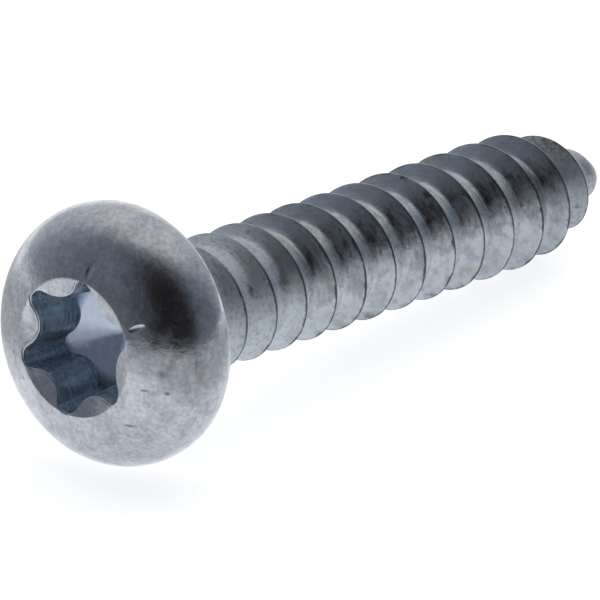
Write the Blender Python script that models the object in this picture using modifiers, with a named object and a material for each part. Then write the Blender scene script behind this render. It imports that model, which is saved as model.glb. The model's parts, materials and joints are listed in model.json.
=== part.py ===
"""Sheet metal screw with a domed pan head, a six-lobe recess and a blunt point.

One cold-formed and thread-rolled piece, lying on its side as it comes to rest.
The screw is modelled in its own frame: the bearing face under the head is the plane z = 0,
the head points up and the shank points down. An empty then lays it on the ground plane.
"""

import math

import bmesh
import bpy
import numpy as np
from mathutils import Matrix

MM = 0.001

# Head, above the bearing face
HEAD_DIAMETER = 9.36 * MM
HEAD_HEIGHT = 3.7 * MM
CROWN_RADIUS = 7.2 * MM
CORNER_RADIUS = 2.05 * MM
RIM_EDGE_RADIUS = 0.45 * MM

# Plain neck under the head
NECK_DIAMETER = 4.0 * MM
NECK_LENGTH = 1.0 * MM
UNDERHEAD_FILLET = 0.45 * MM

# Rolled thread, right-hand
LENGTH = 24.55 * MM
THREAD_MAJOR_DIAMETER = 4.72 * MM
THREAD_MINOR_DIAMETER = 3.5 * MM
PITCH = 1.6 * MM
CREST_FLAT = 0.1 * MM
FLANK_ANGLE = math.radians(30.0)
ROOT_FILLET = 0.25 * MM
RUN_IN = 1.4 * MM
THREAD_START = 1.23 * MM

# Point
POINT_LENGTH = 5.1 * MM
POINT_CREST_RADIUS = 0.35 * MM
POINT_FULLNESS = 2.2
END_RADIUS = 0.78 * MM

# Six-lobe recess
LOBES = 6
RECESS_ACROSS_LOBES = 4.48 * MM
RECESS_ACROSS_RIBS = 3.26 * MM
LOBE_RADIUS = 0.39 * MM
RECESS_DEPTH = 2.05 * MM
RECESS_TURN = math.radians(-9.4)
FLOOR_ANGLE = math.radians(17.0)
ENTRY_DIAMETER = 4.96 * MM
ENTRY_ANGLE = math.radians(17.5)

# Fineness of the round shapes
FACETS = 36
CROWN_STEPS = 6
CORNER_STEPS = 7
EDGE_STEPS = 3
LOBE_STEPS = 6
RIB_STEPS = 6
MERGE = 1e-6

# How far one solid runs past the face of another that it joins or cuts
OVERLAP = 0.5 * MM


def arc(centre, radius, start, end, steps):
    """Points on an arc in the plane of the profile, with angles from the outward direction."""
    angles = [start + (end - start) * i / steps for i in range(steps + 1)]
    return [(centre[0] + radius * math.cos(a), centre[1] + radius * math.sin(a)) for a in angles]


def profile_object(name, points, collection):
    """An open outline of (radius, height) points, standing at +X."""
    mesh = bpy.data.meshes.new(name)
    verts = [(radius, 0.0, height) for radius, height in points]
    edges = [(i, i + 1) for i in range(len(verts) - 1)]
    mesh.from_pydata(verts, edges, [])
    shape = bpy.data.objects.new(name, mesh)
    collection.objects.link(shape)
    return shape


def turn(shape, rise=0.0, turns=1):
    """Turn an outline round the Z axis, or sweep it up a helix that rises by rise a turn."""
    screw = shape.modifiers.new("turn", "SCREW")
    screw.axis = "Z"
    screw.angle = math.tau
    screw.screw_offset = rise
    screw.iterations = turns
    screw.steps = FACETS
    screw.render_steps = FACETS
    screw.use_merge_vertices = rise == 0.0
    screw.merge_threshold = MERGE
    screw.use_smooth_shade = True


def combine(shape, other, operation):
    """Join another solid to a shape, or cut it away."""
    boolean = shape.modifiers.new(other.name, "BOOLEAN")
    boolean.operation = operation
    boolean.object = other
    boolean.solver = "EXACT"


def evaluated_mesh(shape):
    """A plain mesh of the shape with its modifiers worked out."""
    graph = bpy.context.evaluated_depsgraph_get()
    return bpy.data.meshes.new_from_object(shape.evaluated_get(graph))


def make_plain(shape):
    """Replace a shape's outline and modifiers by the mesh that they give."""
    outline = shape.data
    shape.data = evaluated_mesh(shape)
    shape.modifiers.clear()
    shape.data.name = shape.name
    bpy.data.meshes.remove(outline)


def crown_height(radius):
    """Height of the dome above the bearing face, at a radius inside the crown."""
    return HEAD_HEIGHT - CROWN_RADIUS + math.sqrt(CROWN_RADIUS**2 - radius**2)


def head_outline():
    """The head and neck, from the middle of the crown down to the axis inside the shank."""
    crown = (0.0, HEAD_HEIGHT - CROWN_RADIUS)
    corner_r = HEAD_DIAMETER / 2 - CORNER_RADIUS
    corner_z = crown[1] + math.sqrt((CROWN_RADIUS - CORNER_RADIUS) ** 2 - corner_r**2)
    crown_end = math.atan2(corner_z - crown[1], corner_r)

    rim_reach = CORNER_RADIUS - RIM_EDGE_RADIUS
    rim_z = RIM_EDGE_RADIUS
    rim_turn = math.asin((rim_z - corner_z) / rim_reach)
    rim_r = corner_r + rim_reach * math.cos(rim_turn)

    neck_r = NECK_DIAMETER / 2
    fillet = (neck_r + UNDERHEAD_FILLET, -UNDERHEAD_FILLET)
    core_r = THREAD_MINOR_DIAMETER / 2 - OVERLAP
    core_z = -NECK_LENGTH - (neck_r - core_r)

    points = arc(crown, CROWN_RADIUS, math.pi / 2, crown_end, CROWN_STEPS)
    points[0] = (0.0, HEAD_HEIGHT)
    points += arc((corner_r, corner_z), CORNER_RADIUS, crown_end, rim_turn, CORNER_STEPS)[1:]
    points += arc((rim_r, rim_z), RIM_EDGE_RADIUS, rim_turn, -math.pi / 2, EDGE_STEPS)[1:]
    points += arc(fillet, UNDERHEAD_FILLET, math.pi / 2, math.pi, EDGE_STEPS)
    points += [(neck_r, -NECK_LENGTH), (core_r, core_z), (0.0, core_z)]
    return points


def thread_outline(crest_z):
    """One pitch of the thread's section, from root to root over the crest at crest_z."""
    major_r = THREAD_MAJOR_DIAMETER / 2
    minor_r = THREAD_MINOR_DIAMETER / 2
    flank_run = (major_r - minor_r) * math.tan(FLANK_ANGLE)
    half_base = CREST_FLAT / 2 + flank_run
    half_root = PITCH / 2 - half_base
    lead = min(ROOT_FILLET * math.tan((math.pi / 2 - FLANK_ANGLE) / 2), half_root)
    half = [
        (minor_r, PITCH / 2),
        (minor_r, half_base + lead),
        (minor_r + lead * math.cos(FLANK_ANGLE), half_base - lead * math.sin(FLANK_ANGLE)),
        (major_r, CREST_FLAT / 2),
    ]
    upper = [(radius, crest_z + reach) for radius, reach in half]
    lower = [(radius, crest_z - reach) for radius, reach in reversed(half)]
    return upper + lower


def root_radius(depth):
    """Radius of the thread's root at a distance below the bearing face."""
    minor_r = THREAD_MINOR_DIAMETER / 2
    cone_start = LENGTH - POINT_LENGTH
    cone_end = LENGTH - END_RADIUS
    if depth <= cone_start:
        return minor_r
    if depth <= cone_end:
        share = (depth - cone_start) / (cone_end - cone_start)
        return minor_r + (END_RADIUS - minor_r) * share
    return math.sqrt(max(END_RADIUS**2 - (depth - cone_end) ** 2, 0.0))


def crest_radius(depth):
    """Radius of the thread's crest, which fades in below the neck and falls to the point."""
    major_r = THREAD_MAJOR_DIAMETER / 2
    point = max(depth - (LENGTH - POINT_LENGTH), 0.0) / POINT_LENGTH
    full = major_r - (major_r - POINT_CREST_RADIUS) * point**POINT_FULLNESS
    start = min(max((depth - NECK_LENGTH) / RUN_IN, 0.0), 1.0)
    rise = start * start * (3.0 - 2.0 * start)
    root = root_radius(depth)
    return root + max(full - root, 0.0) * rise


def shape_thread(bm):
    """Move the swept thread in or out to the shank's run-in, taper and rounded end."""
    minor_r = THREAD_MINOR_DIAMETER / 2
    height = THREAD_MAJOR_DIAMETER / 2 - minor_r
    for vert in bm.verts:
        radius = math.hypot(vert.co.x, vert.co.y)
        share = (radius - minor_r) / height
        depth = -vert.co.z
        root = root_radius(depth)
        scale = (root + (crest_radius(depth) - root) * share) / radius
        vert.co.x *= scale
        vert.co.y *= scale


def cap_end(bm, height, outward):
    """Cut the thread square at a height and close it there."""
    everything = bm.verts[:] + bm.edges[:] + bm.faces[:]
    bmesh.ops.bisect_plane(
        bm, geom=everything, dist=MERGE, plane_co=(0.0, 0.0, height), plane_no=(0.0, 0.0, outward),
        clear_outer=True,
    )
    rim = [edge for edge in bm.edges if edge.is_boundary
           and all(abs(vert.co.z - height) < MERGE for vert in edge.verts)]
    bmesh.ops.contextual_create(bm, geom=rim)


def make_thread(collection):
    """The threaded shank, from inside the neck to the blunt end."""
    top = -NECK_LENGTH + OVERLAP
    end_flat = END_RADIUS / 20
    bottom = -LENGTH + end_flat
    turns_down = math.ceil((LENGTH - THREAD_START) / PITCH + 1.5)
    crest_z = -THREAD_START - turns_down * PITCH
    turns = math.ceil((top - crest_z) / PITCH + 0.5)

    thread = profile_object("thread", thread_outline(crest_z), collection)
    turn(thread, rise=PITCH, turns=turns)
    make_plain(thread)

    bm = bmesh.new()
    bm.from_mesh(thread.data)
    bmesh.ops.remove_doubles(bm, verts=bm.verts[:], dist=MERGE)
    shape_thread(bm)
    cap_end(bm, top, 1.0)
    cap_end(bm, bottom, -1.0)
    bmesh.ops.recalc_face_normals(bm, faces=bm.faces[:])
    bm.to_mesh(thread.data)
    bm.free()
    return thread


def lobe_outline():
    """The six-lobe outline at the recess floor: round lobes joined by round ribs."""
    lobe_centre = RECESS_ACROSS_LOBES / 2 - LOBE_RADIUS
    rib_edge = RECESS_ACROSS_RIBS / 2
    half_step = math.pi / LOBES
    reach = lobe_centre * math.cos(half_step)
    # A rib's arc touches both lobes beside it, which sets its radius.
    gap = lobe_centre**2 + rib_edge**2 - 2.0 * rib_edge * reach - LOBE_RADIUS**2
    rib_radius = gap / (2.0 * (LOBE_RADIUS + reach - rib_edge))
    rib_centre = rib_edge + rib_radius
    lean_y = rib_centre * math.sin(half_step)
    lean_x = rib_centre * math.cos(half_step) - lobe_centre
    lobe_half = math.atan2(lean_y, lean_x)
    rib_half = lobe_half - half_step

    points = []
    for i in range(LOBES):
        lobe = RECESS_TURN + i * math.tau / LOBES
        rib = lobe + half_step
        lobe_at = (lobe_centre * math.cos(lobe), lobe_centre * math.sin(lobe))
        rib_at = (rib_centre * math.cos(rib), rib_centre * math.sin(rib))
        points += arc(lobe_at, LOBE_RADIUS, lobe - lobe_half, lobe + lobe_half, LOBE_STEPS)
        facing = rib + math.pi
        points += arc(rib_at, rib_radius, facing + rib_half, facing - rib_half, RIB_STEPS)[1:-1]
    return points


def make_recess(collection):
    """The cutter for the six-lobe socket, which flares up to the entry and has a conical floor."""
    entry_z = crown_height(ENTRY_DIAMETER / 2)
    floor_z = entry_z - RECESS_DEPTH
    top_z = HEAD_HEIGHT + OVERLAP
    flare = (ENTRY_DIAMETER / RECESS_ACROSS_LOBES - 1.0) / RECESS_DEPTH
    slope = math.tan(FLOOR_ANGLE)
    tip_z = floor_z - RECESS_ACROSS_LOBES / 2 * slope

    bm = bmesh.new()
    outline = [bm.verts.new((x, y, floor_z)) for x, y in lobe_outline()]
    floor = bm.faces.new(reversed(outline))
    lifted = bmesh.ops.extrude_face_region(bm, geom=[floor])["geom"]
    roof = [item for item in lifted if isinstance(item, bmesh.types.BMVert)]
    widen = 1.0 + flare * (top_z - floor_z)
    bmesh.ops.scale(bm, verts=roof, vec=(widen, widen, 1.0))
    bmesh.ops.translate(bm, verts=roof, vec=(0.0, 0.0, top_z - floor_z))
    base = [face for face in bm.faces if all(vert in outline for vert in face.verts)]
    tip = bmesh.ops.poke(bm, faces=base)["verts"]
    bmesh.ops.translate(bm, verts=tip, vec=(0.0, 0.0, tip_z - floor_z))
    # The floor is one cone, so the walls run down to it, deeper at the ribs than at the lobes.
    for vert in outline:
        radius = vert.co.xy.length
        fall = (radius - RECESS_ACROSS_LOBES / 2) * slope / (1.0 - radius * flare * slope)
        vert.co.xy *= 1.0 + flare * fall
        vert.co.z = floor_z + fall
    bmesh.ops.recalc_face_normals(bm, faces=bm.faces[:])

    mesh = bpy.data.meshes.new("recess")
    bm.to_mesh(mesh)
    bm.free()
    recess = bpy.data.objects.new("recess", mesh)
    collection.objects.link(recess)
    return recess


def make_entry(collection):
    """The cutter for the shallow countersink round the recess."""
    entry_r = ENTRY_DIAMETER / 2
    outer_r = entry_r + OVERLAP
    rise = math.tan(ENTRY_ANGLE)
    outer_z = crown_height(entry_r) + OVERLAP * rise
    top_z = HEAD_HEIGHT + 2.0 * OVERLAP
    outline = [(0.0, top_z), (outer_r, top_z), (outer_r, outer_z), (0.0, outer_z - outer_r * rise)]
    entry = profile_object("entry", outline, collection)
    turn(entry)
    return entry


def zinc_plate():
    """Bright zinc plating, slightly blue, over cold-formed steel."""
    material = bpy.data.materials.new("zinc_plated_steel")
    material.use_nodes = True
    surface = material.node_tree.nodes["Principled BSDF"]
    surface.inputs["Base Color"].default_value = (0.47, 0.51, 0.56, 1.0)
    surface.inputs["Metallic"].default_value = 1.0
    surface.inputs["Roughness"].default_value = 0.35
    return material


def make_screw(parts, cutters):
    """The whole screw in its own frame, as one solid."""
    screw = profile_object("screw", head_outline(), parts)
    turn(screw)
    combine(screw, make_thread(cutters), "UNION")
    combine(screw, make_entry(cutters), "DIFFERENCE")
    combine(screw, make_recess(cutters), "DIFFERENCE")
    for cutter in cutters.objects:
        cutter.hide_render = True
        cutter.display_type = "WIRE"
    make_plain(screw)
    screw.data.materials.append(zinc_plate())
    screw.data.shade_smooth()
    screw.data.set_sharp_from_angle(angle=math.radians(25.0))
    # Half a facet of turn about its own axis brings a flat of the rim to the bottom.
    screw.rotation_euler = (0.0, 0.0, math.pi / FACETS)
    return screw


def rest_tilt(points):
    """How far the point hangs down when the rim and the thread both touch the ground."""
    head = points[points[:, 2] >= 0.0]
    shank = points[points[:, 2] < -LENGTH / 2]
    low, high = 0.0, math.pi / 4
    for _ in range(60):
        tilt = (low + high) / 2
        down = np.array([math.cos(tilt), 0.0, math.sin(tilt)])
        if (shank @ down).min() > (head @ down).min():
            low = tilt
        else:
            high = tilt
    return (low + high) / 2


def lay_down(screw, parts):
    """Lay the screw along +X on the ground, with the origin under the middle of its box."""
    rest = bpy.data.objects.new("rest", None)
    parts.objects.link(rest)
    screw.parent = rest

    coordinates = np.empty(len(screw.data.vertices) * 3)
    screw.data.vertices.foreach_get("co", coordinates)
    turned = np.array(screw.rotation_euler.to_matrix())
    points = coordinates.reshape(-1, 3) @ turned.T
    tilt = rest_tilt(points)
    lean = tilt - math.pi / 2
    laid = points @ np.array(Matrix.Rotation(lean, 3, "Y")).T
    low, high = laid.min(axis=0), laid.max(axis=0)
    rest.rotation_euler = (0.0, lean, 0.0)
    rest.location = (-(low[0] + high[0]) / 2, -(low[1] + high[1]) / 2, -low[2])


def main():
    for old in list(bpy.data.objects):
        bpy.data.objects.remove(old)
    parts = bpy.data.collections.new("sheet_metal_screw")
    cutters = bpy.data.collections.new("cutters")
    bpy.context.scene.collection.children.link(parts)
    bpy.context.scene.collection.children.link(cutters)
    screw = make_screw(parts, cutters)
    lay_down(screw, parts)
    bpy.context.view_layer.update()


main()
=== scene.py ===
"""Dresses the packed sheet metal screw: the visible screw, its zinc plating, and a small photo studio.

The screw is one closed mesh. Its head is a turned profile with a punched six-lobe recess, and its
threaded shank is swept by Geometry Nodes. Both are made in the screw's own frame, with the bearing
face at z = 0 and the head up, and are then laid down where the packed part lies.
"""

import json
import math
from functools import partial

import bmesh
import bpy
from bpy.props import FloatProperty, FloatVectorProperty, IntProperty, PointerProperty
from mathutils import Matrix, Vector


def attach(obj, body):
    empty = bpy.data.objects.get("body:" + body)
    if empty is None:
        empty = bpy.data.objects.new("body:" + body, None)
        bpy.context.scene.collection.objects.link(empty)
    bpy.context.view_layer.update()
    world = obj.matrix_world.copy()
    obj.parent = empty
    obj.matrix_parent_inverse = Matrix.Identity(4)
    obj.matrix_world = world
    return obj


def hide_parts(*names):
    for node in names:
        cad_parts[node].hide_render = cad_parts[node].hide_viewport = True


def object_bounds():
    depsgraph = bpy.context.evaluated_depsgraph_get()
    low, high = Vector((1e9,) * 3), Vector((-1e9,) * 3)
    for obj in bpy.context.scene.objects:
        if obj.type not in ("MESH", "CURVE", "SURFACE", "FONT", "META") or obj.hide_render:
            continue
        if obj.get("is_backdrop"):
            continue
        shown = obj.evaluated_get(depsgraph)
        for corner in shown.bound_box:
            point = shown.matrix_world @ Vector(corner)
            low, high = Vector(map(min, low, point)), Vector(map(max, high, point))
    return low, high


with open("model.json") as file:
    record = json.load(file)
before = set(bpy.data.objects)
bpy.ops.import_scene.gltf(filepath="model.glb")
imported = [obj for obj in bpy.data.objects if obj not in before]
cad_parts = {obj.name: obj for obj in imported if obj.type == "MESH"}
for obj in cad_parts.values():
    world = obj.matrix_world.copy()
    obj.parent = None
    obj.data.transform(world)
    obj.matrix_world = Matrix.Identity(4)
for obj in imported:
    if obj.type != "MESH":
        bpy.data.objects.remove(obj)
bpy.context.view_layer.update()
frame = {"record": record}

bl_info = {
    "name": "Sheet metal screw",
    "version": (1, 0, 0),
    "blender": (4, 5, 0),
    "location": "3D View > Sidebar > Screw",
    "description": "Makes a zinc-plated sheet metal screw with a six-lobe recess, and its studio",
    "category": "Add Mesh",
}

MM = 0.001
# Points this near are one point when the head is turned and the thread is swept and cut.
MERGE = 1e-6
# Points nearer than this are one point in the finished mesh.
FILE_MERGE = 1e-7
BODY = "root"
NODE = "screw"
MOUNT = "bearing_face"
# The bearing mount lies this far above the screw's axis.
MOUNT_RADIUS = 3.3 * MM
# The screw is turned this far about its axis, so that a facet of the packed rim lies flat.
SEAT_TURN = math.radians(5.0)
# How far one solid runs past the face of another that it joins or cuts
OVERLAP = 0.5 * MM
# Faces that meet at more than this angle meet in a crease.
CREASE = math.radians(30.0)

# How finely the round shapes are divided
HEAD_STEPS = 144
CROWN_STEPS = 18
CORNER_STEPS = 14
EDGE_STEPS = 6
LOBE_STEPS = 20
RIB_STEPS = 20
WALL_STEPS = 6
MOUTH_STEPS = 5
NICK_STEPS = 24
NICK_RINGS = 16
# Rings of the recess floor, as shares of the way from its middle to its edge
FLOOR_SHARES = (0.02, 0.2, 0.4, 0.6, 0.8)
# The rounded mouth meets the countersink at this angle, which keeps the cut clean.
MOUTH_CROSSING = math.radians(14.0)
# The thread is swept at least this many turns past its point and its top, and is then cut square.
TURNS_BELOW = 1.5
TURNS_ABOVE = 0.5
# The rounded end is cut flat above its tip by its radius over this, before its faces get too small.
TIP_DIVISOR = 200

# The camera looks at this point, in millimetres from the bearing face along the axis, and below the axis in
# the picture.
LOOK_ALONG = 8.359
LOOK_BELOW = 0.945
# How far the camera sees, and the side of the paper, in metres
SIGHT_RANGE = 10.0
PAPER_SIDE = 2.0

# Nicks that the punch left in the dome: direction, nearest and furthest distance from the axis, and width
NICKS = [
    (math.radians(-11.7), 2.25 * MM, 3.6 * MM, 0.5 * MM),
    (math.radians(-66.0), 2.45 * MM, 3.5 * MM, 0.42 * MM),
]
NICK_DEPTH = 0.045 * MM


def length(millimetres, name, description):
    """A property that holds a length, with its default in millimetres."""
    return FloatProperty(
        name=name, description=description, default=millimetres * MM, min=0.0, precision=5,
        subtype="DISTANCE", unit="LENGTH",
    )


def angle(degrees, name, description):
    """A property that holds an angle, with its default in degrees."""
    return FloatProperty(
        name=name, description=description, default=math.radians(degrees), subtype="ANGLE", unit="ROTATION",
    )


def share(default, name, description):
    """A property that holds a share from 0 to 1."""
    return FloatProperty(
        name=name, description=description, default=default, min=0.0, max=1.0, subtype="FACTOR",
    )


def linear(code):
    """The linear values of an sRGB colour that is written as hex."""
    shares = [int(code[i:i + 2], 16) / 255 for i in (0, 2, 4)]
    return [v / 12.92 if v <= 0.04045 else ((v + 0.055) / 1.055) ** 2.4 for v in shares]


def colour(code, name, description):
    """A property that holds a colour, with its default as sRGB hex."""
    return FloatVectorProperty(
        name=name, description=description, default=linear(code), size=3, min=0.0, max=1.0, subtype="COLOR",
    )


class HeadSizes(bpy.types.PropertyGroup):
    """Sizes of the head and the neck."""

    diameter: length(9.36, "Diameter", "Across the rim of the head")
    height: length(3.7, "Height", "From the bearing face to the top of the full dome")
    crown: length(7.2, "Crown radius", "Radius of the dome")
    corner: length(2.05, "Corner radius", "Round between the dome and the rim")
    rim_edge: length(0.45, "Rim edge radius", "Round between the rim and the bearing face")
    neck: length(4.0, "Neck diameter", "Plain neck above the thread")
    neck_length: length(1.0, "Neck length", "From the bearing face to the neck's end")
    fillet: length(0.45, "Underhead fillet", "Round between the neck and the bearing face")


class RecessSizes(bpy.types.PropertyGroup):
    """Sizes of the six-lobe recess."""

    lobes: IntProperty(name="Lobes", description="Number of lobes", default=6, min=3)
    across_lobes: length(4.48, "Across lobes", "Over opposite lobes at the floor")
    across_ribs: length(3.26, "Across ribs", "Between opposite ribs at the floor")
    lobe: length(0.39, "Lobe radius", "Round at the tip of a lobe")
    depth: length(2.05, "Depth", "From the entry to the floor's edge")
    turn: angle(-9.4, "Turn", "Turn of the first lobe about the screw's axis")
    floor: angle(17.0, "Floor angle", "Slope of the conical floor")
    entry: length(4.96, "Entry diameter", "Across the countersink at the dome")
    entry_slope: angle(17.5, "Entry angle", "Slope of the countersink")
    entry_edge: length(0.12, "Entry edge radius", "Round between the countersink and the dome")
    mouth: length(0.03, "Mouth radius", "Round between the walls and the countersink")


class ThreadSizes(bpy.types.PropertyGroup):
    """Sizes of the threaded shank and the point."""

    total: length(24.55, "Length", "From the bearing face to the end of the point")
    major: length(4.72, "Major diameter", "Over the crests")
    minor: length(3.5, "Minor diameter", "Over the root")
    pitch: length(1.6, "Pitch", "Distance between turns")
    crest: length(0.06, "Crest width", "Flat left on the crest")
    flank: angle(30.0, "Flank angle", "Slope of a flank from square to the axis")
    start: length(1.23, "Start", "Depth of the first crest at the turn's start")
    root_round: share(0.65, "Root round", "Blend of flank and root, as a share of the thread's height")
    crest_round: share(0.05, "Crest round", "Blend of flank and crest, as a share of the thread's height")
    run_in: length(1.4, "Run-in", "Over which the thread rises from the neck")
    run_out: length(7.5, "Run-out", "Depth at which the root has its full depth")
    root_rise: length(0.22, "Root rise", "How much higher the root lies near the neck")
    flank_spread: share(0.2, "Flank spread", "How much wider the flanks are near the neck")
    point: length(5.1, "Point length", "Over which the crest falls to the end")
    point_crest: length(0.35, "Point crest radius", "Radius that the crest falls to")
    fullness: FloatProperty(
        name="Point fullness", description="Power of the crest's fall", default=2.2, min=1.0,
    )
    end: length(0.78, "End radius", "Round at the end of the point")
    steps: IntProperty(name="Steps", description="Divisions of one turn", default=96, min=12)
    samples: IntProperty(name="Samples", description="Divisions across one pitch", default=36, min=8)


class FinishColours(bpy.types.PropertyGroup):
    """Colours of the zinc plating."""

    plate: colour("B6BDC6", "Plating", "Clean zinc, slightly blue")
    dull: colour("AAAFB7", "Dull plating", "Grey bloom between the bright spots")
    # In the root this pale colour is a painted highlight.
    pale: colour("D2DBE4", "Pale plating", "Matt zinc near the head, in the root and at the end")
    floor: colour("A5B1C3", "Recess floor", "Zinc with a blue passive film on the recess floor")
    # In two pale patches on the recess walls this colour is painted light, where light falls into the recess;
    # these patches are the blooms that the wall shade lies between.
    walls: colour("EAF6FA", "Recess walls", "Zinc with a thicker blue film on the recess walls")
    walls_dark: colour("ADBFCF", "Recess shade", "Dirt and film between the pale blooms of the walls")
    dome: colour("BCC1C9", "Dome", "Zinc on the dome, greyer than on the thread")
    bloom: colour("9A9EA7", "Dome bloom", "Fine dark grain on the dome")
    stain: colour("988F86", "Stain", "Faint brown film")
    # Along the crests, in the blots on the side of the shank that faces the camera, and in two marks on the
    # dome, this dark colour is painted shade and painted reflection.
    dirt: colour("3D3B3B", "Dirt", "Dark dirt in pits and along the crests")


class StudioSizes(bpy.types.PropertyGroup):
    """The studio's camera, paper and lights."""

    distance: length(950.0, "Camera distance", "From the camera to the point that it looks at")
    azimuth: angle(49.35, "Azimuth", "Turn of the line of sight from the Y axis")
    elevation: angle(25.25, "Elevation", "Height of the camera over the horizon")
    frame_width: length(20.88, "Frame width", "Width of the picture where the screw lies")
    backdrop: colour("FFFFFF", "Backdrop", "Paper under and behind the screw")
    own_white: share(0.72, "Own white", "Share of the paper's white that no shadow darkens")
    window: colour("ECEAE7", "Window", "Broad soft window behind the screw, on the right")
    spill: colour("D3D7DC", "Spill", "Light round the window, which fades into the room")
    room: colour("7D828C", "Room", "Dim walls round the screw")
    dark: colour("292424", "Dark side", "Unlit side from which the camera looks")


# Nodes that are used often: the kind, and its settings
NOISE = ("ShaderNodeTexNoise", {})
MAPPING = ("ShaderNodeMapping", {})
SEPARATE = ("ShaderNodeSeparateXYZ", {})
COMBINE = ("ShaderNodeCombineXYZ", {})
ADD = ("ShaderNodeMath", {"operation": "ADD"})
MULTIPLY = ("ShaderNodeMath", {"operation": "MULTIPLY"})
MULTIPLY_ADD = ("ShaderNodeMath", {"operation": "MULTIPLY_ADD"})
MAXIMUM = ("ShaderNodeMath", {"operation": "MAXIMUM"})
VECTOR_SCALE = ("ShaderNodeVectorMath", {"operation": "SCALE"})
VECTOR_LENGTH = ("ShaderNodeVectorMath", {"operation": "LENGTH"})
DOT_PRODUCT = ("ShaderNodeVectorMath", {"operation": "DOT_PRODUCT"})
# A range's inputs are a value, the two ends that it comes from, and the two ends that it goes to.
RANGE = ("ShaderNodeMapRange", {})
SMOOTH_RANGE = ("ShaderNodeMapRange", {"interpolation_type": "SMOOTHSTEP"})
# A mix's inputs are 0, the share of its second colour, and 6 and 7, its two colours.
MIX = ("ShaderNodeMix", {"data_type": "RGBA"})


def set_inputs(node, inputs):
    """Give a node's inputs values or links, by name or number, or in order if they come as a list."""
    for socket, value in inputs.items() if isinstance(inputs, dict) else enumerate(inputs):
        if isinstance(value, bpy.types.Node):
            value = next(output for output in value.outputs if output.enabled)
        if isinstance(value, bpy.types.NodeSocket):
            node.id_data.links.new(value, node.inputs[socket])
        else:
            node.inputs[socket].default_value = value


def add_node(tree, kind, settings=None, inputs=None):
    """Add a node, set its properties, and give its inputs values or links."""
    node = tree.nodes.new(kind)
    for name, value in (settings or {}).items():
        setattr(node, name, value)
    set_inputs(node, inputs or {})
    return node


def arc(centre, radius, start, end, steps):
    """Points on an arc in the plane of the profile, with angles from the outward direction."""
    angles = [start + (end - start) * i / steps for i in range(steps + 1)]
    return [(centre[0] + radius * math.cos(a), centre[1] + radius * math.sin(a)) for a in angles]


def new_object(name, data):
    """An object for a mesh or a camera, in the scene's collection."""
    thing = bpy.data.objects.new(name, data)
    bpy.context.scene.collection.objects.link(thing)
    return thing


def new_solid(name, bm, finishes):
    """An object for a solid that was made as a bmesh, with its finishes."""
    mesh = bpy.data.meshes.new(name)
    bm.to_mesh(mesh)
    bm.free()
    for finish in finishes:
        mesh.materials.append(finish)
    return new_object(name, mesh)


def evaluated_mesh(shape):
    """A plain mesh of the shape with its modifiers worked out."""
    graph = bpy.context.evaluated_depsgraph_get()
    return bpy.data.meshes.new_from_object(shape.evaluated_get(graph), depsgraph=graph)


def make_plain(shape):
    """Replace a shape's outline and modifiers by the mesh that they give."""
    outline = shape.data
    shape.data = evaluated_mesh(shape)
    shape.modifiers.clear()
    bpy.data.meshes.remove(outline)


def crown_height(head, radius):
    """Height of the dome above the bearing face, at a radius inside the crown."""
    return head.height - head.crown + math.sqrt(head.crown**2 - radius**2)


def entry_outline(head, recess):
    """The countersink from the axis outwards, and the round that leads into the dome."""
    entry_r = recess.entry / 2
    slope = recess.entry_slope
    rise = math.tan(slope)
    crown_z = head.height - head.crown
    bend = recess.entry_edge
    # The round's centre lies one radius inside both the dome and the countersink.
    drop = crown_height(head, entry_r) - entry_r * rise - bend / math.cos(slope)
    reach = head.crown - bend
    fall = drop - crown_z
    half = -rise * fall
    spread = 1.0 + rise * rise
    centre_r = (half + math.sqrt(half * half - spread * (fall * fall - reach * reach))) / spread
    centre = (centre_r, drop + rise * centre_r)
    inner = math.pi / 2 + slope
    outer = math.atan2(centre[1] - crown_z, centre_r)
    points = [(0.0, centre[1] + bend * math.sin(inner) - (centre_r + bend * math.cos(inner)) * rise)]
    points += arc(centre, bend, inner, outer, EDGE_STEPS)
    return points, outer


def head_outline(head, recess, minor):
    """The head and neck, from the middle of the countersink down to the axis inside the shank."""
    crown = (0.0, head.height - head.crown)
    corner_r = head.diameter / 2 - head.corner
    corner_z = crown[1] + math.sqrt((head.crown - head.corner) ** 2 - corner_r**2)
    crown_end = math.atan2(corner_z - crown[1], corner_r)

    rim_reach = head.corner - head.rim_edge
    rim_turn = math.asin((head.rim_edge - corner_z) / rim_reach)
    rim_r = corner_r + rim_reach * math.cos(rim_turn)

    neck_r = head.neck / 2
    fillet = (neck_r + head.fillet, -head.fillet)
    core_r = minor / 2 - OVERLAP
    core_z = -head.neck_length - (neck_r - core_r)

    points, crown_start = entry_outline(head, recess)
    points += arc(crown, head.crown, crown_start, crown_end, CROWN_STEPS)[1:]
    points += arc((corner_r, corner_z), head.corner, crown_end, rim_turn, CORNER_STEPS)[1:]
    points += arc((rim_r, head.rim_edge), head.rim_edge, rim_turn, -math.pi / 2, EDGE_STEPS)[1:]
    points += arc(fillet, head.fillet, math.pi / 2, math.pi, EDGE_STEPS)
    points += [(neck_r, -head.neck_length), (core_r, core_z), (0.0, core_z)]
    return points


def make_head(head, recess, minor, finish):
    """The head and neck, turned from their outline."""
    outline = head_outline(head, recess, minor)
    mesh = bpy.data.meshes.new("head")
    verts = [(radius, 0.0, height) for radius, height in outline]
    mesh.from_pydata(verts, [(i, i + 1) for i in range(len(verts) - 1)], [])
    mesh.materials.append(finish)
    shape = new_object("head", mesh)
    screw = shape.modifiers.new("turn", "SCREW")
    screw.axis = "Z"
    screw.steps = HEAD_STEPS
    screw.render_steps = HEAD_STEPS
    screw.use_merge_vertices = True
    screw.merge_threshold = MERGE
    make_plain(shape)
    return shape


def direction(turn):
    """The flat direction at a turn about the axis."""
    return Vector((math.cos(turn), math.sin(turn)))


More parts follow.
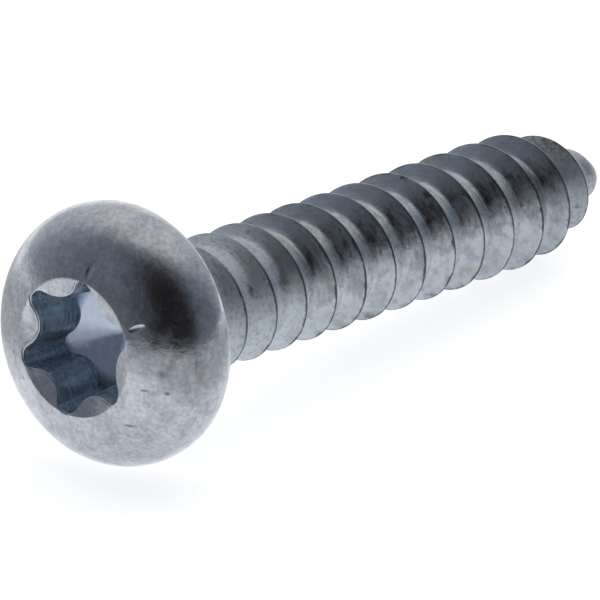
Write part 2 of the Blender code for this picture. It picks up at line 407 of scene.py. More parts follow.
def lobe_outline(recess):
    """The six-lobe outline at the recess floor: its places, and the directions that lead out of them."""
    lobe_centre = recess.across_lobes / 2 - recess.lobe
    rib_edge = recess.across_ribs / 2
    half_step = math.pi / recess.lobes
    reach = lobe_centre * math.cos(half_step)
    # A rib's arc touches both lobes beside it, which sets its radius.
    gap = lobe_centre**2 + rib_edge**2 - 2.0 * rib_edge * reach - recess.lobe**2
    rib_radius = gap / (2.0 * (recess.lobe + reach - rib_edge))
    rib_centre = rib_edge + rib_radius
    lean_y = rib_centre * math.sin(half_step)
    lean_x = rib_centre * math.cos(half_step) - lobe_centre
    lobe_half = math.atan2(lean_y, lean_x)
    rib_half = lobe_half - half_step

    places = []
    leads = []
    for i in range(recess.lobes):
        lobe = recess.turn + i * math.tau / recess.lobes
        rib = lobe + half_step
        for step in range(LOBE_STEPS + 1):
            leads.append(direction(lobe - lobe_half + 2.0 * lobe_half * step / LOBE_STEPS))
            places.append(direction(lobe) * lobe_centre + leads[-1] * recess.lobe)
        for step in range(1, RIB_STEPS):
            leads.append(direction(rib + rib_half - 2.0 * rib_half * step / RIB_STEPS))
            places.append(direction(rib) * rib_centre - leads[-1] * rib_radius)
    return places, leads


def wall_place(head, recess, place, part):
    """A point of the socket's wall, for a share of its height from the floor to the rounded mouth."""
    entry_z = crown_height(head, recess.entry / 2)
    floor_z = entry_z - recess.depth
    flare = (recess.entry / recess.across_lobes - 1.0) / recess.depth
    slope = math.tan(recess.floor)
    rise = math.tan(recess.entry_slope)
    # The floor is one cone, so the walls run down to it, deeper at the ribs than at the lobes.
    low = (place.length - recess.across_lobes / 2) * slope / (1.0 - place.length * flare * slope)
    high = recess.depth - (recess.entry / 2 - place.length) * rise - recess.mouth
    up = low + (high - low) * part
    at = place * (1.0 + flare * up)
    return Vector((at.x, at.y, floor_z + up))


def moved_ring(ring, leads, spread, lift):
    """A ring of points moved outwards and up."""
    return [spot + Vector((out.x * spread, out.y * spread, lift)) for spot, out in zip(ring, leads)]


def socket_rings(head, recess):
    """The cutter's rings of points, from near the middle of the floor up to over the dome."""
    entry_z = crown_height(head, recess.entry / 2)
    places, leads = lobe_outline(recess)
    slope = math.tan(recess.floor)
    tip = Vector((0.0, 0.0, entry_z - recess.depth - recess.across_lobes / 2 * slope))
    rings = []
    for part in FLOOR_SHARES:
        rings.append([tip.lerp(wall_place(head, recess, place, 0.0), part) for place in places])
    for step in range(WALL_STEPS + 1):
        rings.append([wall_place(head, recess, place, step / WALL_STEPS) for place in places])
    # The mouth is rounded until its slope is near that of the countersink, and then runs on through it.
    wall_top = rings[-1]
    mouth = recess.mouth
    over_turn = math.radians(90.0) - recess.entry_slope - MOUTH_CROSSING
    for step in range(1, MOUTH_STEPS + 1):
        turn = over_turn * step / MOUTH_STEPS
        rings.append(moved_ring(wall_top, leads, mouth * (1.0 - math.cos(turn)), mouth * math.sin(turn)))
    rings.append(moved_ring(rings[-1], leads, mouth * math.sin(over_turn), mouth * math.cos(over_turn)))
    rings.append([Vector((spot.x, spot.y, head.height + OVERLAP)) for spot in rings[-1]])
    return rings


def make_recess(head, recess, finishes):
    """The cutter for the six-lobe socket, with one finish for its conical floor and one for its walls."""
    bm = bmesh.new()
    rings = [[bm.verts.new(spot) for spot in ring] for ring in socket_rings(head, recess)]
    count = len(rings[0])
    for level, (lower, upper) in enumerate(zip(rings, rings[1:])):
        for i in range(count):
            face = bm.faces.new((lower[i], lower[(i + 1) % count], upper[(i + 1) % count], upper[i]))
            face.material_index = int(level >= len(FLOOR_SHARES))
    bm.faces.new(reversed(rings[0]))
    bm.faces.new(rings[-1])
    bmesh.ops.recalc_face_normals(bm, faces=bm.faces[:])
    return new_solid("recess", bm, finishes)


def make_nick(head, nick, finish):
    """The cutter for one shallow nick in the dome, which the punch left at the tip of a lobe."""
    turn, near, far, width = nick
    bm = bmesh.new()
    bmesh.ops.create_uvsphere(bm, u_segments=NICK_STEPS, v_segments=NICK_RINGS, radius=1.0)
    middle = (near + far) / 2
    lift = width / 2 - NICK_DEPTH
    slope = math.asin(middle / head.crown)
    stretch = Matrix.Diagonal(((far - near) / 2, width / 2, width / 2, 1.0))
    place = Matrix.Translation((middle, 0.0, crown_height(head, middle))) @ Matrix.Rotation(slope, 4, "Y")
    bm.transform(Matrix.Rotation(turn, 4, "Z") @ place @ Matrix.Translation((0.0, 0.0, lift)) @ stretch)
    return new_solid("nick", bm, [finish])


# The thread's shape, one step a line: the value's name, the operation, and what it works on.
# "across" and "along" run from -0.5 to 0.5 over one pitch and over all turns.
THREAD_RULE = [
    # At the crest the points lie four times as close as midway between two crests.
    ("across square", "MULTIPLY", "across", "across"),
    ("spacing", "MULTIPLY_ADD", "across square", 2.0, 0.5),
    ("reach share", "MULTIPLY", "across", "spacing"),
    ("reach", "MULTIPLY", "reach share", "Pitch"),
    ("half the turns", "MULTIPLY", "Turns", 0.5),
    ("turns so far", "MULTIPLY_ADD", "along", "Turns", "half the turns"),
    ("angle", "MULTIPLY", "turns so far", math.tau),
    ("cosine", "COSINE", "angle"),
    ("sine", "SINE", "angle"),
    ("climb", "MULTIPLY_ADD", "turns so far", "Pitch", "First Crest"),
    ("height", "ADD", "climb", "reach"),
    ("depth", "MULTIPLY", "height", -1.0),

    # The run-out stays over 0.9 for the first half of its depth, and then falls to 0.
    ("run-out part", "DIVIDE", "depth", "Run Out"),
    ("run-out gap", "SUBTRACT", 1.0, "run-out part"),
    ("run-out left", "MAXIMUM", "run-out gap", 0.0),
    ("run-out eased", "SMOOTH_MIN", "run-out left", 0.45, 0.3),
    ("run-out", "MULTIPLY", "run-out eased", 2.2),

    ("off the crest", "ABSOLUTE", "reach"),
    ("half crest", "MULTIPLY", "Crest Width", 0.5),
    ("down the flank", "SUBTRACT", "off the crest", "half crest"),
    ("thread height", "SUBTRACT", "Major Radius", "Minor Radius"),
    ("sharp run", "MULTIPLY", "thread height", "Flank Slope"),
    ("spread", "MULTIPLY_ADD", "run-out", "Flank Spread", 1.0),
    ("flank run", "MULTIPLY", "sharp run", "spread"),
    ("fallen", "DIVIDE", "down the flank", "flank run"),
    ("left", "SUBTRACT", 1.0, "fallen"),
    ("filleted", "SMOOTH_MAX", "left", 0.0, "Root Round"),
    ("share", "SMOOTH_MIN", "filleted", 1.0, "Crest Round"),

    ("taper start", "SUBTRACT", "Length", "Point Length"),
    ("into the point", "SUBTRACT", "depth", "taper start"),
    ("past taper", "MAXIMUM", "into the point", 0.0),
    ("cone length", "SUBTRACT", "Point Length", "End Radius"),
    ("cone part", "DIVIDE", "past taper", "cone length"),
    ("cone share", "MINIMUM", "cone part", 1.0),
    ("root fall", "SUBTRACT", "End Radius", "Minor Radius"),
    ("cone root", "MULTIPLY_ADD", "root fall", "cone share", "Minor Radius"),
    ("past cone", "SUBTRACT", "past taper", "cone length"),
    ("into the end", "MAXIMUM", "past cone", 0.0),
    ("end part", "DIVIDE", "into the end", "End Radius"),
    ("end square", "MULTIPLY", "end part", "end part"),
    ("end left", "SUBTRACT", 1.0, "end square"),
    ("end kept", "MAXIMUM", "end left", 0.0),
    ("end round", "SQRT", "end kept"),
    ("root", "MULTIPLY", "cone root", "end round"),
    ("lifted root", "MULTIPLY_ADD", "run-out", "Root Rise", "root"),

    ("point part", "DIVIDE", "past taper", "Point Length"),
    ("point curve", "POWER", "point part", "Point Fullness"),
    ("crest fall", "SUBTRACT", "Point Crest", "Major Radius"),
    ("full crest", "MULTIPLY_ADD", "crest fall", "point curve", "Major Radius"),
    ("over root", "SUBTRACT", "full crest", "lifted root"),
    ("ridge", "MAXIMUM", "over root", 0.0),
    ("below neck", "SUBTRACT", "depth", "Neck Length"),
    ("run-in part", "DIVIDE", "below neck", "Run In"),
]


def thread_tree(values, finish):
    """The node tree that sweeps one pitch of the thread's section up its helix, with named inputs."""
    tree = bpy.data.node_groups.new("rolled_thread", "GeometryNodeTree")
    for name, value in values.items():
        kind = "NodeSocketInt" if isinstance(value, int) else "NodeSocketFloat"
        tree.interface.new_socket(name, in_out="INPUT", socket_type=kind)
    tree.interface.new_socket("Geometry", in_out="OUTPUT", socket_type="NodeSocketGeometry")

    add = partial(add_node, tree)
    given = add("NodeGroupInput").outputs
    grid = add("GeometryNodeMeshGrid", inputs={
        "Size X": 1.0, "Size Y": 1.0, "Vertices X": given["Samples"], "Vertices Y": given["Rows"],
    })
    spot = add(*SEPARATE, [add("GeometryNodeInputPosition")]).outputs
    known = {name: given[name] for name in values}
    known.update({"across": spot["X"], "along": spot["Y"]})
    for name, operation, *terms in THREAD_RULE:
        settings = {"operation": operation, "label": name}
        known[name] = add("ShaderNodeMath", settings, [known.get(term, term) for term in terms])

    rise = add(*SMOOTH_RANGE, [known["run-in part"]])
    ridge = add(*MULTIPLY, [known["ridge"], rise])
    radius = add(*MULTIPLY_ADD, [ridge, known["share"], known["lifted root"]])
    flat = add(*COMBINE, [known["cosine"], known["sine"], 0.0])
    spread = add(*VECTOR_SCALE, {0: flat, "Scale": radius})
    lift = add(*COMBINE, [0.0, 0.0, known["height"]])
    where = add("ShaderNodeVectorMath", {"operation": "ADD"}, [spread, lift])

    # The unrolled thread, in millimetres: x runs along the helix, and y runs across the section.
    around = add(*MULTIPLY, [known["angle"], known["Minor Radius"]])
    unrolled = add(*COMBINE, [around, known["reach"], 0.0])
    in_mm = add(*VECTOR_SCALE, {0: unrolled, "Scale": 1.0 / MM})
    mapped = add("GeometryNodeStoreNamedAttribute", {"data_type": "FLOAT2", "domain": "CORNER"},
                 {"Geometry": grid, "Name": "unrolled", "Value": in_mm})
    swept = add("GeometryNodeSetPosition", inputs={"Geometry": mapped, "Position": where})
    real = add("GeometryNodeRealizeInstances", inputs=[swept])
    dressed = add("GeometryNodeSetMaterial", inputs={"Geometry": real, "Material": finish})
    add("NodeGroupOutput", inputs=[dressed])
    return tree


def cap_end(bm, height, outward):
    """Cut the thread square at a height and close it there."""
    everything = bm.verts[:] + bm.edges[:] + bm.faces[:]
    bmesh.ops.bisect_plane(
        bm, geom=everything, dist=MERGE, plane_co=(0.0, 0.0, height), plane_no=(0.0, 0.0, outward),
        clear_outer=True,
    )
    rim = [edge for edge in bm.edges if edge.is_boundary
           and all(abs(vert.co.z - height) < MERGE for vert in edge.verts)]
    bmesh.ops.contextual_create(bm, geom=rim)


def make_thread(thread, neck_length, finish):
    """The threaded shank, from inside the neck to the end of the point."""
    top = -neck_length + OVERLAP
    bottom = -thread.total + thread.end / TIP_DIVISOR
    turns_down = math.ceil((thread.total - thread.start) / thread.pitch + TURNS_BELOW)
    first_crest = -thread.start - turns_down * thread.pitch
    turns = math.ceil((top - first_crest) / thread.pitch + TURNS_ABOVE)
    values = {
        "Turns": turns, "Rows": turns * thread.steps + 1, "Samples": thread.samples + 1,
        "Pitch": thread.pitch, "First Crest": first_crest,
        "Major Radius": thread.major / 2, "Minor Radius": thread.minor / 2,
        "Crest Width": thread.crest, "Flank Slope": math.tan(thread.flank),
        "Root Round": thread.root_round, "Crest Round": thread.crest_round,
        "Length": thread.total, "Point Length": thread.point, "Point Crest": thread.point_crest,
        "Point Fullness": thread.fullness, "End Radius": thread.end,
        "Neck Length": neck_length, "Run In": thread.run_in,
        "Run Out": thread.run_out, "Root Rise": thread.root_rise, "Flank Spread": thread.flank_spread,
    }
    shape = new_object("thread", bpy.data.meshes.new("thread"))
    modifier = shape.modifiers.new("thread", "NODES")
    modifier.node_group = thread_tree(values, finish)
    for item in modifier.node_group.interface.items_tree:
        if item.in_out == "INPUT":
            modifier[item.identifier] = values[item.name]
    make_plain(shape)

    bm = bmesh.new()
    bm.from_mesh(shape.data)
    bmesh.ops.remove_doubles(bm, verts=bm.verts[:], dist=MERGE)
    cap_end(bm, top, 1.0)
    cap_end(bm, bottom, -1.0)
    bmesh.ops.recalc_face_normals(bm, faces=bm.faces[:])
    bm.to_mesh(shape.data)
    bm.free()
    return shape


def combine(shape, other, operation):
    """Join another solid to a shape, or cut it away, and remove the other."""
    boolean = shape.modifiers.new(other.name, "BOOLEAN")
    boolean.operation = operation
    boolean.object = other
    boolean.solver = "EXACT"
    boolean.material_mode = "TRANSFER"
    make_plain(shape)
    bpy.data.objects.remove(other)


def merge_near_points(shape):
    """Merge the points that the cuts left almost on top of each other."""
    bm = bmesh.new()
    bm.from_mesh(shape.data)
    bmesh.ops.remove_doubles(bm, verts=bm.verts[:], dist=FILE_MERGE)
    bm.to_mesh(shape.data)
    bm.free()


def packed_axis():
    """Where the packed screw's axis meets the bearing face, and the axis's direction from there."""
    mount = next(item for item in frame["record"]["mounts"] if item["name"] == MOUNT)
    along = Vector(mount["axis"]).normalized()
    tilt = math.asin(-along.z)
    upward = Vector((math.sin(tilt), 0.0, math.cos(tilt)))
    return Vector(mount["pos_m"]) - upward * MOUNT_RADIUS, along


def rest_place():
    """Where the packed part lies: the turn and shift from the screw's own frame to the scene."""
    bearing, along = packed_axis()
    lean = Matrix.Rotation(math.asin(-along.z) - math.pi / 2, 4, "Y")
    return Matrix.Translation(bearing) @ lean @ Matrix.Rotation(SEAT_TURN, 4, "Z")


def zinc_material(name):
    """A new metal material, with its surface and the function that adds its nodes."""
    material = bpy.data.materials.new(name)
    material.use_nodes = True
    surface = material.node_tree.nodes["Principled BSDF"]
    surface.inputs["Metallic"].default_value = 1.0
    # The clear passive film over the zinc brightens its outline.
    surface.inputs["Coat Weight"].default_value = 0.4
    surface.inputs["Coat Roughness"].default_value = 0.15
    return material, surface, partial(add_node, material.node_tree)


def dress_surface(add, surface, tint, rough, relief, height):
    """Give a surface its colour, its roughness, and a relief whose height is in millimetres."""
    bumped = add("ShaderNodeBump", inputs={"Height": relief, "Strength": 1.0, "Distance": height * MM})
    set_inputs(surface, {"Base Color": tint, "Roughness": rough, "Normal": bumped})


def own_place(add):
    """Object coordinates turned into the screw's own frame, in millimetres."""
    into = rest_place().inverted()
    seen = add("ShaderNodeTexCoord").outputs
    return add(*MAPPING, {
        "Vector": seen["Object"], "Location": into.translation / MM, "Rotation": into.to_euler(),
        "Scale": (1.0 / MM, 1.0 / MM, 1.0 / MM),
    })


# The side of the shank that faces the camera, where ragged dark blots are painted as painted reflection of
# the dark side of the room, as a turn about the axis in the screw's own frame
DARK_REFLECTION_SIDE = math.radians(-58.0)
# Marks that handling left, in the screw's own frame in millimetres: place, half sizes and strength. The first
# two on the dome are painted reflection, which darkens where the dome mirrors the dark side of the room.
DOME_MARKS = [
    ((1.15, -3.3, 2.6), (0.5, 0.4, 0.4), 0.6), ((0.75, -3.35, 2.75), (0.35, 0.3, 0.3), 0.6),
    ((-0.98, -3.03, 2.96), (0.06, 0.16, 0.16), 0.8), ((-1.03, -3.70, 2.58), (0.08, 0.14, 0.14), 0.8),
    ((-0.34, -3.57, 2.75), (0.16, 0.18, 0.18), 0.5), ((-2.42, -2.26, 2.90), (0.06, 0.32, 0.2), 0.7),
    ((-2.84, -2.11, 2.77), (0.1, 0.1, 0.1), 0.3), ((-0.07, -4.43, 1.90), (0.6, 0.05, 0.06), 0.4),
    ((-0.75, 2.85, 3.07), (0.12, 0.08, 0.1), 0.7), ((-1.60, 2.42, 3.09), (0.08, 0.08, 0.08), 0.8),
]
DOME_STAINS = [((-0.45, -4.48, 1.77), (0.3, 0.12, 0.2), 0.6)]
THREAD_MARKS = [
    ((0.78, -1.78, -4.13), (0.4, 0.3, 0.25), 0.75), ((0.58, -1.68, -5.85), (0.45, 0.3, 0.3), 0.65),
    ((1.86, -1.30, -14.10), (0.16, 0.16, 0.18), 0.85), ((0.22, -2.32, -14.36), (0.24, 0.1, 0.13), 0.85),
    ((0.91, -2.13, -4.67), (0.1, 0.1, 0.1), 0.6), ((2.15, -0.13, -5.89), (0.12, 0.12, 0.12), 0.6),
    ((-2.04, -1.03, -11.44), (0.25, 0.35, 0.2), 0.7), ((-2.01, -1.23, -13.09), (0.25, 0.35, 0.15), 0.5),
    ((-2.02, -1.15, -14.65), (0.25, 0.35, 0.15), 0.6), ((-0.43, -1.36, -22.28), (0.12, 0.12, 0.12), 0.6),
]
THREAD_STAINS = [((-1.25, -1.62, -15.98), (0.3, 0.35, 0.25), 0.6)]
# Two pale patches of painted light on the recess walls, where light falls into the recess: place, half sizes
# and strength
WALL_LIGHT_PATCHES = [((0.8, 1.8, 2.1), (0.6, 0.4, 0.5), 0.9), ((-1.6, 0.8, 1.7), (0.5, 0.5, 0.9), 1.0)]


def add_marks(add, place, grain, mask, marks):
    """Add marks with ragged edges to a mask."""
    for middle, sizes, strength in marks:
        offset = add("ShaderNodeVectorMath", {"operation": "SUBTRACT"}, [place, middle])
        shaped = add("ShaderNodeVectorMath", {"operation": "DIVIDE"}, [offset, sizes])
        away = add(*VECTOR_LENGTH, [shaped])
        ragged = add(*MULTIPLY_ADD, [grain, 2.0, away])
        mark = add(*SMOOTH_RANGE, [ragged, 1.1, 2.2, strength, 0.0])
        mask = add(*MAXIMUM, [mask, mark])
    return mask


def headed_zinc(colours):
    """Zinc plating on cold-headed steel."""
    # A forged dome, tumbled with others before and after plating: the zinc is a fine grey mottle with
    # small dark pits and dashes, and shallow dents break up what it mirrors.
    material, surface, add = zinc_material("zinc_on_headed_steel")
    place = own_place(add)

    # Grain of 0.15 mm under a cloud of 0.6 mm. The real grain is a few microns, and is drawn this coarse
    # to show.
    grain = add(*NOISE, {"Vector": place, "Scale": 6.5, "Detail": 2.0})
    cloud = add(*NOISE, {"Vector": place, "Scale": 1.7, "Detail": 4.0, "Roughness": 0.6, "Distortion": 0.6})
    mixed = add(*MULTIPLY_ADD, [grain, 0.8, cloud])
    mottle = add(*RANGE, [mixed, 0.68, 1.12])

    # Pits 0.1 mm wide, and dashes of 0.3 mm by 0.06 mm
    specks = add(*NOISE, {"Vector": place, "Scale": 4.5, "Detail": 2.0, "Roughness": 0.7})
    pits = add(*SMOOTH_RANGE, [specks, 0.69, 0.77, 0.0, 0.6])
    slanted = add(*MAPPING, {
        "Vector": place, "Rotation": (0.0, 0.0, math.radians(55.0)), "Scale": (1.6, 8.0, 8.0),
    })
    strokes = add(*NOISE, {"Vector": slanted, "Scale": 1.0, "Detail": 1.0})
    dashes = add(*SMOOTH_RANGE, [strokes, 0.76, 0.82, 0.0, 0.5])
    dark = add(*MAXIMUM, [pits, dashes])
    # Two of the dome marks are painted reflection of the dark side of the room.
    dirt_and_painted_shade = add_marks(add, place, grain, dark, DOME_MARKS)
    brown = add_marks(add, place, grain, 0.0, DOME_STAINS)
    tint = (*colours.dome, 1.0)
    for cover, layer in ((mottle, colours.bloom), (dirt_and_painted_shade, colours.dirt), (brown, colours.stain)):
        tint = add(*MIX, {0: cover, 6: tint, 7: (*layer, 1.0)})

    rough = add(*RANGE, [cloud, 0.35, 0.65, 0.16, 0.3])
    # Dents of 0.3 mm, with the grain on them
    dents = add(*NOISE, {"Vector": place, "Scale": 3.0, "Detail": 3.0, "Roughness": 0.6})
    raised = add(*MULTIPLY_ADD, [grain, 0.25, dents])
    dress_surface(add, surface, tint, rough, raised, 0.010)
    return material


def rolled_zinc(colours, total):
    """Zinc plating on thread-rolled steel."""
    # Rolling dies burnish the flanks and draw fine scratches along the thread. The zinc is smooth in some
    # patches and dull in others, so the dark side of the room shows in it as ragged blots. More ragged dark
    # blots are painted on the side that faces the camera as painted reflection, a painted dark line along the
    # sharp crests is painted shade, and the root is painted paler as a painted highlight.
    material, surface, add = zinc_material("zinc_on_rolled_steel")
    place = own_place(add)
    spot = add(*SEPARATE, [place]).outputs
    unrolled = add("ShaderNodeUVMap", {"uv_map": "unrolled"})
    section = add(*SEPARATE, [unrolled]).outputs
    off_crest = add("ShaderNodeMath", {"operation": "ABSOLUTE"}, [section["Y"]])

    # Along the thread run scratches 0.08 mm apart and 1.4 mm long, and smears that are 0.4 mm long.
    along = add(*MAPPING, {"Vector": unrolled, "Scale": (0.7, 12.0, 1.0)})
    scratches = add(*NOISE, {"Vector": along, "Scale": 1.0, "Detail": 3.0, "Roughness": 0.65})
    streaks = add(*MAPPING, {"Vector": unrolled, "Scale": (2.6, 13.0, 1.0)})
    smears = add(*NOISE, {"Vector": streaks, "Scale": 1.0, "Detail": 3.0, "Distortion": 0.5})

    # Patches of 0.6 mm and grain of 0.14 mm pay no heed to the thread.
    patches = add(*NOISE, {
        "Vector": place, "Scale": 1.6, "Detail": 6.0, "Roughness": 0.62, "Distortion": 0.4,
    })
    grain = add(*NOISE, {"Vector": place, "Scale": 7.0, "Detail": 3.0})
    mixed = add(*MULTIPLY_ADD, [scratches, 0.35, patches])
    dullness = add(*SMOOTH_RANGE, [mixed, 0.56, 0.82])

    # Near the head, where the rolls end, the zinc is matt and pale. In the root the zinc is more matt than on
    # the flanks, and its paler colour there is a painted highlight, for the bright window that the root
    # mirrors.
    near_head = add(*SMOOTH_RANGE, [spot["Z"], -8.5, -4.0])
    low = add(*MULTIPLY_ADD, [smears, 0.5, off_crest])
    rooted = add(*SMOOTH_RANGE, [low, 0.65, 0.9])
    # soft also carries the root's pale tint, which is a painted highlight.
    soft = add(*MAXIMUM, [near_head, rooted])

    # The last turn is rough and pale from rolling, and a brown film clouds its upper side.
    last_turn = add(*SMOOTH_RANGE, [spot["Z"], 3.8 - total / MM, 2.6 - total / MM])
    upper = add(*SMOOTH_RANGE, [spot["X"], 0.9, 1.8])
    near_point = add(*MULTIPLY, [last_turn, upper])
    soiled = add(*SMOOTH_RANGE, [grain, 0.35, 0.65, 0.1, 0.75])
    brown = add(*MULTIPLY, [near_point, soiled])
    filmed = add_marks(add, place, grain, brown, THREAD_STAINS)

    # A painted dark line about 0.1 mm wide follows the crest, as painted shade of the crest's edge. It is
    # fainter on the upper side, where more light falls.
    wavy = add(*MULTIPLY_ADD, [patches, -0.12, off_crest])
    line = add(*SMOOTH_RANGE, [wavy, -0.03, 0.0, 0.9, 0.0])
    rubbed = add(*MULTIPLY_ADD, [patches, 1.6, spot["X"]])
    kept = add(*SMOOTH_RANGE, [rubbed, 1.9, 2.8, 1.0, 0.6])
    edge = add(*MULTIPLY, [line, kept])

    # Spots of dirt spread from the crest down the flank.
    drops = add(*NOISE, {"Vector": place, "Scale": 1.7, "Detail": 3.0})
    reach = add(*MULTIPLY_ADD, [off_crest, -0.9, drops])
    spots = add(*SMOOTH_RANGE, [reach, 0.6, 0.7, 0.0, 0.7])

    # Ragged dark blots are painted on the side of the shank that faces the camera, as painted reflection of
    # the dark side of the room, though less near the head, in the root and on the last turn.
    flat = add("ShaderNodeVectorMath", {"operation": "MULTIPLY"}, [place, (1.0, 1.0, 0.0)])
    outward = add("ShaderNodeVectorMath", {"operation": "NORMALIZE"}, [flat])
    facing = add(*DOT_PRODUCT, [outward, (math.cos(DARK_REFLECTION_SIDE), math.sin(DARK_REFLECTION_SIDE), 0.0)])
    turned = add("ShaderNodeMath", {"operation": "ARCCOSINE"}, [facing])
    broken = add(*MULTIPLY_ADD, [mixed, 1.3, turned])
    ragged = add(*MULTIPLY_ADD, [smears, 2.0, broken])
    dark_reflection_blots = add(*SMOOTH_RANGE, [ragged, 1.65, 2.3, 0.55, 0.0])
    further = add(*SMOOTH_RANGE, [spot["Z"], -9.0, -4.0, 1.0, 0.15])
    dark_reflection_further = add(*MULTIPLY, [dark_reflection_blots, further])
    lower = add(*MAXIMUM, [rooted, last_turn])
    spared = add(*MULTIPLY_ADD, [lower, -0.6, 1.0])
    blots = add(*MULTIPLY, [dark_reflection_further, spared])

    # Fine smudges break up the matt zinc near the head, in the root and at the end, and lie thinly elsewhere.
    fine = add(*ADD, [grain, smears])
    smudges = add(*SMOOTH_RANGE, [fine, 0.9, 1.3, 0.0, 0.35])
    softer = add(*MAXIMUM, [soft, last_turn])
    thinner = add(*RANGE, [softer, 0.0, 1.0, 0.4, 1.0])
    thinned = add(*MULTIPLY, [smudges, thinner])

    # The dark mask joins the painted crest shade and the painted dark blots with real spots and smudges.
    dark = edge
    for more in (spots, blots, thinned):
        dark = add(*MAXIMUM, [dark, more])
    dirt_and_painted_shade = add_marks(add, place, grain, dark, THREAD_MARKS)
    tint = (*colours.plate, 1.0)
    # The pale layer is a painted highlight in the root, and the dirt layer holds painted shade and painted
    # reflection as well as real dirt.
    layers = [
        (dullness, colours.dull), (soft, colours.pale), (last_turn, colours.pale), (filmed, colours.stain),
        (dirt_and_painted_shade, colours.dirt),
    ]
    for cover, layer in layers:
        tint = add(*MIX, {0: cover, 6: tint, 7: (*layer, 1.0)})

    matt_root = add(*MULTIPLY, [rooted, 0.4])
    matt = dullness
    for more in (matt_root, near_head, last_turn):
        matt = add(*MAXIMUM, [matt, more])
    rough = add(*RANGE, [matt, 0.0, 1.0, 0.28, 0.52])
    scored = add(*ADD, [scratches, smears])
    raised = add(*MULTIPLY_ADD, [scored, 0.8, grain])
    dress_surface(add, surface, tint, rough, raised, 0.009)

    # Where the rolls run out, at both ends, the zinc is crystalline and scatters some of the light.
    ends = add(*MAXIMUM, [near_head, last_turn])
    bright = add(*RANGE, [ends, 0.0, 1.0, 1.0, 0.6])
    set_inputs(surface, {"Metallic": bright})
    return material


def punched_zinc(colours):
    """Zinc plating on the floor that the punch pressed flat."""
    # The end of the hardened punch leaves a glossy cone, with a blue passive film and hardly any marks.
    material, surface, add = zinc_material("zinc_on_punched_steel")
    place = own_place(add)
    grain = add(*NOISE, {"Vector": place, "Scale": 4.0, "Detail": 4.0})
    tint = add("ShaderNodeMapRange", {"data_type": "FLOAT_VECTOR"}, {
        "Vector": grain, 7: (0.3, 0.3, 0.3), 8: (0.7, 0.7, 0.7),
        9: [v * 0.9 for v in colours.floor], 10: [v * 1.1 for v in colours.floor],
    })
    rough = add(*RANGE, [grain, 0.3, 0.7, 0.1, 0.2])
    dress_surface(add, surface, tint, rough, grain, 0.002)
    return material


def scuffed_zinc(colours):
    """Zinc plating on the walls that the punch rubbed."""
    # The punch drags over the walls and leaves fine rings, and the plating bath leaves a thicker blue film.
    material, surface, add = zinc_material("zinc_on_scuffed_steel")
    surface.inputs["Metallic"].default_value = 0.7
    place = own_place(add)
    # Rings 0.1 mm apart
    ripple = add(*MAPPING, {"Vector": place, "Scale": (0.8, 0.8, 9.0)})
    rings = add(*NOISE, {"Vector": ripple, "Scale": 1.0, "Detail": 3.0, "Distortion": 0.8})
    blots = add(*NOISE, {"Vector": place, "Scale": 1.8, "Detail": 4.0, "Roughness": 0.6, "Distortion": 0.8})
    mixed = add(*MULTIPLY_ADD, [rings, 0.4, blots])
    shade = add(*RANGE, [mixed, 0.55, 0.95, 0.0, 0.6])
    # The two pale patches are painted light, where light falls into the recess.
    tone_and_painted_light = add_marks(add, place, blots, shade, WALL_LIGHT_PATCHES)
    tint = add(*MIX, {0: tone_and_painted_light, 6: (*colours.walls_dark, 1.0), 7: (*colours.walls, 1.0)})
    rough = add(*RANGE, [blots, 0.3, 0.7, 0.18, 0.35])
    dress_surface(add, surface, tint, rough, rings, 0.045)
    return material


class SCREW_OT_make(bpy.types.Operator):
    """Make the visible screw as one closed mesh in place of the packed solid"""

    bl_idname = "screw.make"
    bl_label = "Make screw"

    def execute(self, context):
        head = context.scene.screw_head
        recess = context.scene.screw_recess
        thread = context.scene.screw_thread
        colours = context.scene.screw_colours
        shape = make_head(head, recess, thread.minor, headed_zinc(colours))
        combine(shape, make_thread(thread, head.neck_length, rolled_zinc(colours, thread.total)), "UNION")
        for nick in NICKS:
            combine(shape, make_nick(head, nick, shape.data.materials[0]), "DIFFERENCE")
        finishes = (punched_zinc(colours), scuffed_zinc(colours))
        combine(shape, make_recess(head, recess, finishes), "DIFFERENCE")
        merge_near_points(shape)
        shape.data.shade_smooth()
        shape.data.set_sharp_from_angle(angle=CREASE)
        shape.data.transform(rest_place())
        shape.name = "plated_screw"
        shape.data.name = "plated_screw"
        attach(shape, BODY)
        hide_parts(NODE)
        return {"FINISHED"}


